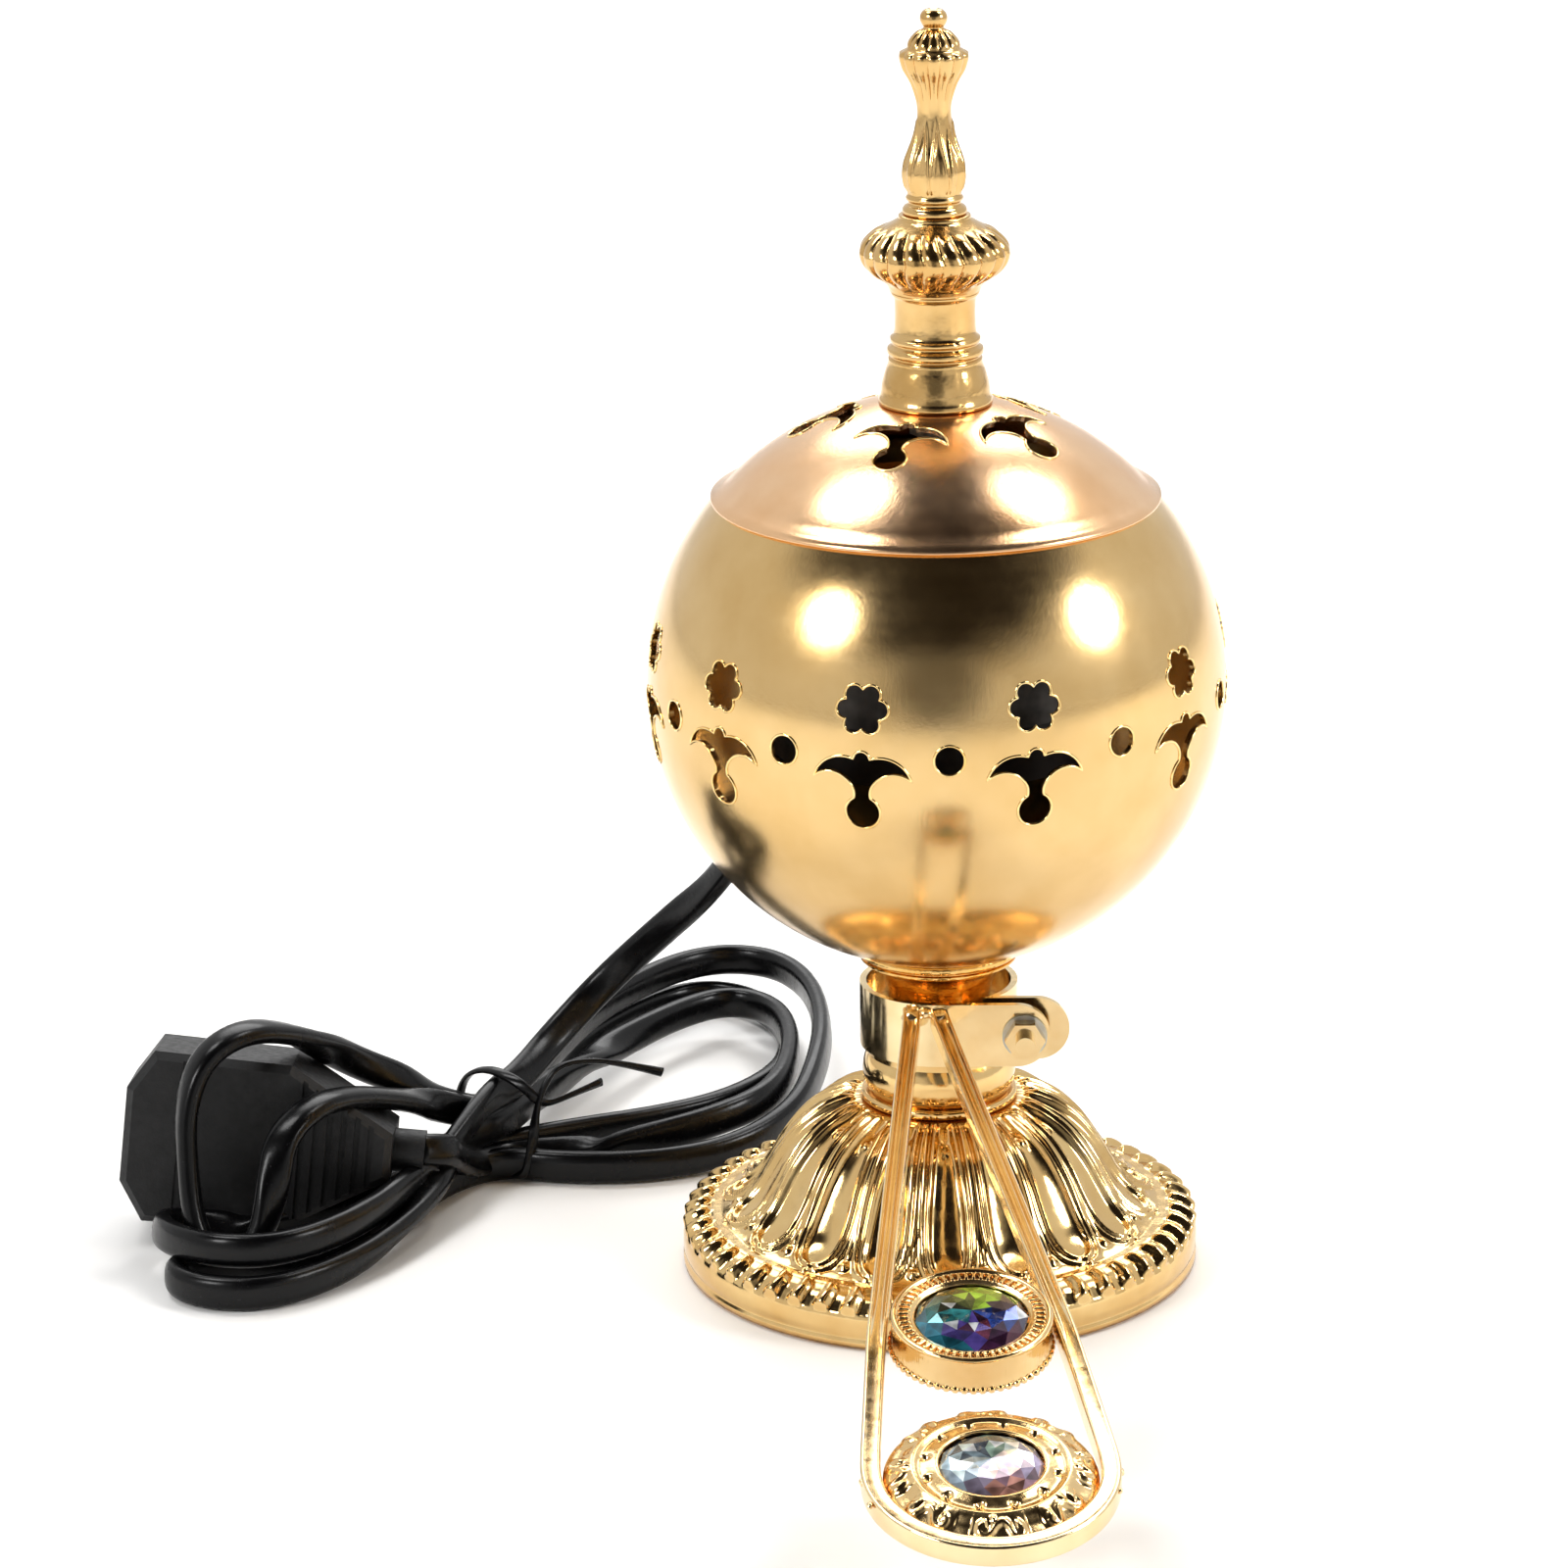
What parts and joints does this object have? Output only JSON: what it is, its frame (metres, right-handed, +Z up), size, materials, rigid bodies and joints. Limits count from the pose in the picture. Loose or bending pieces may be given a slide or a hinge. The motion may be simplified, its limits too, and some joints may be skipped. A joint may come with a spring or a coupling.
{
  "type": "electric incense censer",
  "caption": "Electric incense censer: a pierced ball with a lift-off lid and finial on a lotus foot, with a swivelling jewelled strap handle and a tied mains cord.",
  "frame": {"origin": "centre of the round foot, on the surface that its pads stand on", "axes": "+Z up along the stem; -Y towards the handle as it is stored; +X to the right seen from the handle side"},
  "size_m": [0.177, 0.2658, 0.2011],
  "materials": {
    "polished_gold": "polished gold plating on zinc castings",
    "satin_gold": "satin champagne-gold plating, slightly mottled",
    "rose_gold": "satin rose-gold plating",
    "bright_wire": "bright gold-plated steel wire and strap",
    "zinc_steel": "zinc-plated steel",
    "phenolic": "moulded brown-black phenolic",
    "ceramic": "unglazed white ceramic",
    "plain_aluminium": "turned aluminium",
    "stainless": "pressed stainless steel",
    "green_crystal": "faceted crystal with a green-violet coating",
    "clear_crystal": "faceted crystal with a pale rainbow coating",
    "black_rubber": "matte black rubber",
    "black_pvc": "semi-gloss black soft PVC",
    "black_plug": "satin black moulded PVC",
    "nickel_pins": "nickel-plated brass pins"
  },
  "bodies": {
    "root": {"foot": "polished_gold", "base_plate": "zinc_steel", "base_pads": "black_rubber", "tie_rod": "zinc_steel", "rod_nuts": "zinc_steel", "rod_washers": "zinc_steel", "foot_ring": "polished_gold", "stem_collar": "polished_gold", "stem_cup": "polished_gold", "bowl_shell": "satin_gold", "bowl_lip": "satin_gold", "heater_spacer": "zinc_steel", "heater_housing": "phenolic", "insulator": "ceramic", "heating_element": "ceramic", "thermal_fuse": "zinc_steel", "heating_plate": "plain_aluminium", "terminal_block": "phenolic", "inner_leads": "ceramic", "cord_grommet": "black_rubber", "cord_lead": "black_pvc", "plug_body": "black_plug", "plug_pins": "nickel_pins", "plug_relief": "black_plug", "cord_hank": "black_pvc", "twist_tie": "black_pvc"},
    "lid": {"lid_shell": "rose_gold", "lid_bell": "polished_gold", "finial_saucer": "polished_gold", "finial_knob": "polished_gold", "lid_stud": "zinc_steel", "lid_nut": "zinc_steel"},
    "dish": {"incense_dish": "stainless"},
    "handle": {"clamp_band": "bright_wire", "clamp_bolt": "bright_wire", "clamp_nut": "bright_wire", "clamp_washer": "bright_wire", "handle_wire": "bright_wire", "upper_medallion": "polished_gold", "upper_bezel": "polished_gold", "upper_crystal": "green_crystal", "lower_medallion": "polished_gold", "lower_bezel": "polished_gold", "lower_crystal": "clear_crystal"}
  },
  "joints": [
    {"name": "lid_lift", "type": "slide", "parent": "root", "child": "lid", "axis": [0, 0, 1], "range_m": [0, 0.08]},
    {"name": "dish_lift", "type": "slide", "parent": "root", "child": "dish", "axis": [0, 0, 1], "range_m": [0, 0.018]},
    {"name": "handle_swivel", "type": "hinge", "parent": "root", "child": "handle", "pos_m": [0, 0, 0.0413], "axis": [0, 0, 1], "range_deg": [-50, 120]}
  ]
}
